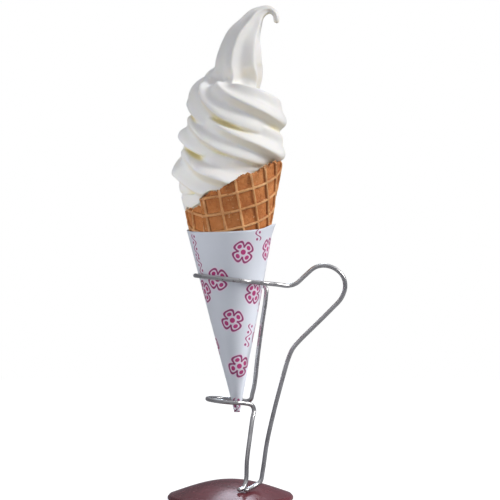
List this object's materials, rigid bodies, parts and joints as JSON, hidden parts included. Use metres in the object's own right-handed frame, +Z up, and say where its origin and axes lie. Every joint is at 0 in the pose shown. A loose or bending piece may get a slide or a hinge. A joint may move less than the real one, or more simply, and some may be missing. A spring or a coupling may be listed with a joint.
{
  "type": "soft serve cone",
  "caption": "Coiled white soft serve in a rolled waffle cone with a paper sleeve, standing in a bent wire holder on a round base.",
  "frame": {"origin": "middle of the holder base's flat underside, where the part rests", "axes": "+Z up, towards the tip of the soft serve; +X towards the holder's handle loop; the front as pictured faces -Y"},
  "size_m": [0.1195, 0.0836, 0.3298],
  "materials": {
    "cream": "smooth, softly glossy white soft serve",
    "waffle": "baked waffle, matte, golden brown",
    "paper": "smooth white paper with pink printed flowers",
    "wire": "polished round steel wire",
    "base": "glossy dark brown"
  },
  "bodies": {
    "root": {"soft_serve": "cream", "waffle_cone": "waffle", "paper_sleeve": "paper", "holder_wire": "wire", "holder_base": "base"}
  },
  "joints": []
}
